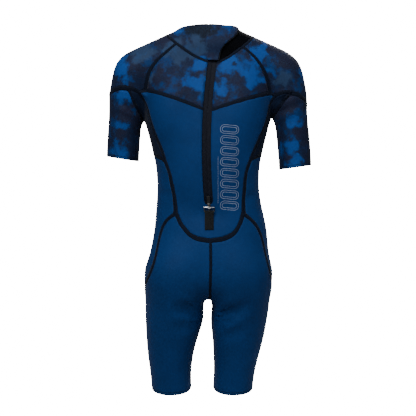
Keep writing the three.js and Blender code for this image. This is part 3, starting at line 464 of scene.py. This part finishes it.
def print_with_sheen_and_shade(tree):
    """A mottled ground, bluer at the front, with the clouds laid over it in turn; some of them are painted sheen
    and painted shade.
    """
    place = put(tree, "ShaderNodeTexCoord").outputs["Object"]
    flat = put(tree, "ShaderNodeVectorMath", {0: place, 1: (1, 0.3, 1)}, operation="MULTIPLY").outputs[0]
    stir = put(tree, "ShaderNodeTexNoise", {"Vector": place, "Scale": 27, "Detail": 6, "Roughness": 0.6})
    stir = put(tree, "ShaderNodeVectorMath", {0: stir.outputs["Color"], 1: (0.5, 0.5, 0.5)},
               operation="SUBTRACT").outputs[0]
    stir = put(tree, "ShaderNodeVectorMath", {0: stir, "Scale": 0.085}, operation="SCALE").outputs[0]
    flat = put(tree, "ShaderNodeVectorMath", {0: flat, 1: stir}, operation="ADD").outputs[0]
    wide = put(tree, "ShaderNodeTexNoise", {"Vector": place, "Scale": 19, "Detail": 5, "Roughness": 0.62})
    ground = blend_colours(tree, put(tree, "ShaderNodeMapRange", {"Value": wide.outputs["Fac"], "From Min": 0.42,
                                     "From Max": 0.58}).outputs[0], (*INKY, 1), (*BROWN, 1))
    blues = put(tree, "ShaderNodeTexNoise", {"Vector": place, "Scale": 26, "Detail": 6, "Roughness": 0.66})
    ground = blend_colours(tree, put(tree, "ShaderNodeMapRange", {"Value": blues.outputs["Fac"], "From Min":
                                     0.51, "From Max": 0.62}).outputs[0], ground, (*DEEP_BLUE, 1))
    front = put(tree, "ShaderNodeMapRange", {"Value": put(tree, "ShaderNodeSeparateXYZ", {0: place}).outputs["Y"],
                                             "From Min": 0.035, "From Max": 0.055}).outputs[0]
    more = put(tree, "ShaderNodeMapRange", {"Value": blues.outputs["Fac"], "From Min": 0.49, "From Max": 0.55})
    ground = blend_colours(tree, sums(tree, "MULTIPLY", front, more.outputs[0]), ground, (*BLUE, 1))
    for across, up, radius, colour in CLOUDS:
        cloud = put(tree, "ShaderNodeGroup", node_tree=cloud_group)
        tree.links.new(flat, cloud.inputs["Place"])
        cloud.inputs["Middle"].default_value = (across, -0.012, up)
        cloud.inputs["Radius"].default_value = radius
        share = cloud.outputs["Mask"]
        # The slate clouds are painted sheen, laid thinner than the dyes.
        if colour == PAINTED_SHEEN_SLATE:
            share = sums(tree, "MULTIPLY", share, 0.6)
        ground = blend_colours(tree, share, ground, (*colour, 1))
    return ground


# The printed jersey carries the print together with its painted sheen and painted shade.
printed_jersey = cloth_material("printed_jersey", print_with_sheen_and_shade, (0.012, 0.050, 0.120), speck_share=0.35)
underarm_jersey = cloth_material("underarm_jersey", (0.0035, 0.0095, 0.034), (0.004, 0.022, 0.075), speck_share=0.3)

# Each panel is given its jersey, the lining and the foam edge, and the foam's thickness behind its outer face.
for cut, piece in cuts.items():
    if cut == "seam":
        continue
    jersey = printed_jersey if cut in PRINTED else plain_jersey if cut in PLAIN else black_jersey
    jersey = underarm_jersey if "underarm" in cut else back_jersey if cut == "back_panel" else jersey
    for material in (jersey, lining, foam_edge):
        piece.data.materials.append(material)
    finish_with(piece, "SOLIDIFY", "foam", thickness=FOAM, offset=-1, material_offset=1,
                material_offset_rim=2)
    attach(piece, "suit")
    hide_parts(cut)

# ---- The stitching over the seams
# Polyester thread, sewn flat over each glued seam, so that it stands as a low ribbed band between the
# panels. It is as thick as the foam, so that no light comes through the seam.
thread = cloth_material("seam_thread", (0.0020, 0.0055, 0.0190), (0.005, 0.012, 0.034), roughness=0.8,
                        pitch=0.0024, bump=0.0006)
seams = cuts["seam"]
seams.name = seams.data.name = "flat_seams"
seams.data.materials.append(thread)
finish_with(seams, "SOLIDIFY", "thread", thickness=FOAM, offset=-1)
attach(seams, "suit")

# ---- The hems
# Each sleeve and leg is backed with an inner stretch tape and sewn through with one line of thread, 8 mm
# up from its edge. The thread is a thin cord laid where a sloped plane cuts the panels.
STITCH_UP = 0.008


def hem_thread(panels, name, point, slope):
    """A line of thread round the panels where the sloped plane through point meets them."""
    loops = []
    for panel in panels:
        ring = cuts[panel].copy()
        ring.data = cuts[panel].data.copy()
        bpy.context.scene.collection.objects.link(ring)
        choose(ring)
        bpy.ops.object.mode_set(mode="EDIT")
        bpy.ops.mesh.select_mode(type="FACE")
        bpy.ops.mesh.select_all(action="DESELECT")
        bpy.ops.object.mode_set(mode="OBJECT")
        for face in ring.data.polygons:
            face.select = face.material_index != 0
        bpy.ops.object.mode_set(mode="EDIT")
        bpy.ops.mesh.delete(type="FACE")
        bpy.ops.mesh.select_all(action="SELECT")
        bpy.ops.mesh.bisect(plane_co=point, plane_no=slope, clear_inner=True, clear_outer=True)
        bpy.ops.object.mode_set(mode="OBJECT")
        if ring.data.edges:
            loops.append(ring)
        else:
            bpy.data.objects.remove(ring)
    choose(*loops)
    if len(loops) > 1:
        bpy.ops.object.join()
    line = bpy.context.object
    line.data.materials.clear()
    # The copies bring the panels' frame records with them, which aren't the thread's.
    for key in list(line.keys()):
        del line[key]
    bpy.ops.object.mode_set(mode="EDIT")
    bpy.ops.mesh.select_mode(type="VERT")
    bpy.ops.mesh.select_all(action="SELECT")
    bpy.ops.mesh.remove_doubles(threshold=0.004)
    bpy.ops.object.mode_set(mode="OBJECT")
    bpy.ops.object.convert(target="CURVE")
    line.data.bevel_depth = 0.00045
    line.data.bevel_resolution = 1
    bpy.ops.object.convert(target="MESH")
    line = bpy.context.object
    line.name = line.data.name = name
    line.data.materials.clear()
    line.data.materials.append(thread)
    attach(line, "suit")
    return line


hem_thread(["sleeve_left", "underarm_panel_left"], "sleeve_hem_stitch_left",
           (-0.222, 0.027, -0.2865 + STITCH_UP), (0.16, -0.06, 1))
hem_thread(["sleeve_right", "underarm_panel_right"], "sleeve_hem_stitch_right",
           (0.226, 0.008, -0.309 + STITCH_UP), (-0.14, -0.05, 1))
for side, sign in (("left", -1), ("right", 1)):
    hem_thread([part + side for part in ("seat_and_leg_", "side_panel_", "front_leg_")],
               "leg_hem_stitch_" + side, (sign * 0.08, 0.012, -0.8805 + STITCH_UP), (0, -0.15, 1))


def rounded_copy(node, name, body, material, edge=0.0005, smooth=0, segments=2, angle=50):
    """A CAD node's mesh with its triangles joined, its sharp edges rounded, and its own material."""
    piece = copy_of(node, name)
    bpy.ops.object.mode_set(mode="EDIT")
    bpy.ops.mesh.select_all(action="SELECT")
    bpy.ops.mesh.tris_convert_to_quads(face_threshold=math.radians(40), shape_threshold=math.radians(60))
    bpy.ops.object.mode_set(mode="OBJECT")
    finish_with(piece, "BEVEL", "edges", width=edge, segments=segments, limit_method="ANGLE",
                angle_limit=math.radians(angle), use_clamp_overlap=True)
    if smooth:
        finish_with(piece, "SUBSURF", "smooth", levels=smooth, render_levels=smooth)
    choose(piece)
    bpy.ops.object.shade_smooth_by_angle(angle=math.radians(40))
    piece.data.materials.append(material)
    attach(piece, body)
    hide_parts(node)
    return piece


stretch_tape = cloth_material("stretch_tape", (0.004, 0.005, 0.009), (0.010, 0.012, 0.020), roughness=0.7,
                              pitch=0.0012, bump=0.0002)
for limb in ("sleeve", "leg"):
    for side in ("left", "right"):
        rounded_copy(f"{limb}_hem_tape_{side}", f"{limb}_hem_band_{side}", "suit", stretch_tape,
                     edge=0.0003)

# ---- The collar's edge, its tab and the hook-and-loop patches
# The collar and the tab are edged with folded stretch tape. The tab is the left collar's free end, which
# crosses the zip's top and fastens on the black right collar by a hook patch on a loop patch.
# The tape's free end reaches to the zip's line, and the tab's root laps over the left collar's end.
TAPE_REACH, TAB_LAP = 0.0036, 0.0034
edge_tape = rounded_copy("collar_binding", "collar_edge_tape", "suit", stretch_tape, edge=0.0008,
                         smooth=1)
for vertex in edge_tape.data.vertices:
    if -0.0042 < vertex.co.x < -0.0018 and vertex.co.y < 0:
        vertex.co.x += TAPE_REACH
tab = rounded_copy("collar_tab", "collar_tab_cloth", "tab", printed_jersey, edge=0.0006, smooth=1)
for vertex in tab.data.vertices:
    if vertex.co.x < 0.0012:
        vertex.co.x -= TAB_LAP
rounded_copy("collar_tab_binding", "collar_tab_edge_tape", "tab", stretch_tape, edge=0.0007, smooth=1)

patch = bpy.data.materials.new("hook_and_loop")
patch.use_nodes = True
tree = patch.node_tree
shader = tree.nodes["Principled BSDF"]
place = put(tree, "ShaderNodeTexCoord").outputs["Object"]
hooks = put(tree, "ShaderNodeTexVoronoi", {"Vector": place, "Scale": 700})
tree.links.new(blend_colours(tree, hooks.outputs["Distance"], (0.002, 0.002, 0.003, 1), (0.02, 0.02, 0.024, 1)),
               shader.inputs["Base Color"])
tree.links.new(put(tree, "ShaderNodeBump", {"Height": hooks.outputs["Distance"], "Distance": 0.0006,
                                            "Strength": 1}).outputs[0], shader.inputs["Normal"])
shader.inputs["Roughness"].default_value = 0.85
rounded_copy("loop_patch", "loop_patch_pile", "suit", patch, edge=0.0003)
rounded_copy("hook_patch", "hook_patch_hooks", "tab", patch, edge=0.0003)

# ---- The zip
# A back zip in a slot between the yokes and down the back panel: two woven tapes sewn under the slot's
# edges, a row of moulded teeth on each, stops at both ends, and a thin rubber flap behind it. It bends
# over the back on one arc, whose middle lies in front of the suit.
ZIP_MIDDLE = Vector((0.25111, 0.48396, -0.265))
ZIP_AXIS = Vector((-0.91706, 0.39861, 0)).normalized()
ZIP_LINE = Vector((-0.004, -0.103, -0.265))
ZIP_RADIUS = 0.64
tape_weave = cloth_material("zip_tape", (0.0045, 0.0062, 0.0150), (0.013, 0.016, 0.032), roughness=0.7,
                            pitch=0.0011, bump=0.00025)
for side in ("left", "right"):
    tape = rounded_copy("zip_tape_" + side, "zip_tape_woven_" + side, "suit", tape_weave, edge=0.0003)
flap = rounded_copy("backing_flap", "backing_flap_cloth", "suit", black_jersey, edge=0.0006)

moulded = bpy.data.materials.new("moulded_teeth")
moulded.use_nodes = True
tree = moulded.node_tree
shader = tree.nodes["Principled BSDF"]
place = put(tree, "ShaderNodeTexCoord").outputs["Object"]
scuffs = put(tree, "ShaderNodeTexNoise", {"Vector": place, "Scale": 260, "Detail": 4})
tree.links.new(blend_colours(tree, scuffs.outputs["Fac"], (0.0006, 0.0006, 0.001, 1), (0.002, 0.002, 0.003, 1)),
               shader.inputs["Base Color"])
shader.inputs["Specular IOR Level"].default_value = 0.15
tree.links.new(put(tree, "ShaderNodeMapRange", {"Value": scuffs.outputs["Fac"], "To Min": 0.32,
                                                "To Max": 0.55}).outputs[0], shader.inputs["Roughness"])
# One tooth is a moulded block with a narrower head that points across the zip. It is copied up the arc.
TOOTH_PITCH, TOOTH_WIDE, TOOTH_DEEP, TOOTH_TALL, HEAD_LONG, TEETH = 0.0024, 0.0028, 0.0030, 0.00112, 0.0007, 152
FIRST_TOOTH = math.radians(-12.2)
for side, sign, rise in (("left", -1, 0), ("right", 1, 0.5)):
    bpy.ops.object.select_all(action="DESELECT")
    middle = ZIP_LINE + Vector((sign * 0.0012, 0.0015, 0))
    bpy.ops.mesh.primitive_cube_add(size=1, location=middle)
    row = bpy.context.object
    row.name = row.data.name = "zip_teeth_row_" + side
    bpy.ops.object.transform_apply(location=True, rotation=True, scale=True)
    bpy.ops.object.mode_set(mode="EDIT")
    bpy.ops.transform.resize(value=(TOOTH_WIDE, TOOTH_DEEP, TOOTH_TALL), center_override=middle)
    bpy.ops.mesh.select_mode(type="FACE")
    bpy.ops.mesh.select_all(action="DESELECT")
    bpy.ops.object.mode_set(mode="OBJECT")
    for face in row.data.polygons:
        face.select = face.normal.x * sign < -0.9
    bpy.ops.object.mode_set(mode="EDIT")
    bpy.ops.mesh.extrude_region_move(TRANSFORM_OT_translate={"value": (-sign * HEAD_LONG, 0, 0)})
    head = middle + Vector((-sign * (TOOTH_WIDE / 2 + HEAD_LONG), 0, 0))
    bpy.ops.transform.resize(value=(1, 0.82, 0.8), center_override=head)
    bpy.ops.object.mode_set(mode="OBJECT")
    finish_with(row, "BEVEL", "moulded", width=0.0002, segments=1, limit_method="ANGLE")
    turn = FIRST_TOOTH + rise * TOOTH_PITCH / ZIP_RADIUS
    to_start = (Matrix.Translation(ZIP_MIDDLE) @ Matrix.Rotation(turn, 4, ZIP_AXIS)
                @ Matrix.Translation(-ZIP_MIDDLE))
    row.data.transform(to_start)
    choose(row)
    bpy.ops.object.mode_set(mode="EDIT")
    bpy.ops.mesh.select_all(action="SELECT")
    bpy.ops.mesh.spin(steps=TEETH, dupli=True, angle=TEETH * TOOTH_PITCH / ZIP_RADIUS, center=ZIP_MIDDLE,
                      axis=ZIP_AXIS)
    bpy.ops.object.mode_set(mode="OBJECT")
    row.data.materials.append(moulded)
    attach(row, "suit")
    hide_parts("zip_teeth_" + side)
for node in ("zip_top_stop_left", "zip_top_stop_right", "zip_bottom_stop"):
    rounded_copy(node, node + "_moulded", "suit", moulded, edge=0.0005, segments=3)

# ---- The slider, its link, the pull ring and the leash
# A painted zinc slider with a lug, a short link, a plated ring whose top bar hangs in the link, and a loop of
# ribbed webbing folded over the ring's lower bar and sewn. Below its top bar the ring has a darker copy of the
# plate, which is painted shade.
rubbed, rubbed_in, rubbed_out = new_group("rubbed_metal", [], [("Worn", "Float"), ("Grain", "Float")])
place = put(rubbed, "ShaderNodeTexCoord").outputs["Object"]
rub = put(rubbed, "ShaderNodeTexNoise", {"Vector": place, "Scale": 190, "Detail": 5, "Roughness": 0.7})
rubbed.links.new(put(rubbed, "ShaderNodeMapRange", {"Value": rub.outputs["Fac"], "From Min": 0.52,
                                                    "From Max": 0.75}).outputs[0], rubbed_out["Worn"])
rubbed.links.new(rub.outputs["Fac"], rubbed_out["Grain"])


def metal_material(name, colour, worn, metallic, roughness):
    """Metal or paint of one colour, with a second colour and a rougher finish where it is rubbed."""
    material = bpy.data.materials.new(name)
    material.use_nodes = True
    tree = material.node_tree
    shader = tree.nodes["Principled BSDF"]
    wear = put(tree, "ShaderNodeGroup", node_tree=rubbed).outputs
    tree.links.new(blend_colours(tree, wear["Worn"], (*colour, 1), (*worn, 1)), shader.inputs["Base Color"])
    tree.links.new(put(tree, "ShaderNodeMapRange", {"Value": wear["Grain"], "To Min": roughness - 0.08,
                                                    "To Max": roughness + 0.12}).outputs[0],
                   shader.inputs["Roughness"])
    shader.inputs["Metallic"].default_value = metallic
    return material


paint = metal_material("slider_paint", (0.004, 0.004, 0.006), (0.020, 0.021, 0.024), 0.0, 0.38)
plate = metal_material("bright_plate", (0.86, 0.87, 0.90), (0.70, 0.71, 0.74), 1.0, 0.2)
# A darker copy of the bright plate: painted shade for the ring's sides and lower bar.
dark_plate = metal_material("dark_plate", (0.045, 0.05, 0.06), (0.12, 0.125, 0.14), 1.0, 0.3)
LUG_PLATED_BELOW, PAINTED_SHADE_BELOW = -0.4095, -0.4148
rounded_copy("slider_body", "slider_shell", "slider", paint, edge=0.0011, segments=4, angle=35)
lug = rounded_copy("slider_link", "slider_lug", "slider", paint, edge=0.0004, segments=3,
                   angle=35)
lug.data.materials.append(plate)
for face in lug.data.polygons:
    face.material_index = 1 if face.center.z < LUG_PLATED_BELOW else 0
ring = rounded_copy("pull_ring", "pull_ring_plated", "ring", plate, edge=0.0009, segments=4,
                    angle=35)
# The ring's sides and lower bar take the darker plate as painted shade; its top bar keeps the bright plate.
ring.data.materials.append(dark_plate)
for face in ring.data.polygons:
    face.material_index = 0 if face.center.z > PAINTED_SHADE_BELOW else 1

webbing = cloth_material("webbing", (0.010, 0.0115, 0.013), (0.030, 0.033, 0.036), roughness=0.75, pitch=0.0017,
                         bump=0.0005)
rounded_copy("leash", "leash_webbing", "leash", webbing, edge=0.00035, segments=2, angle=40)
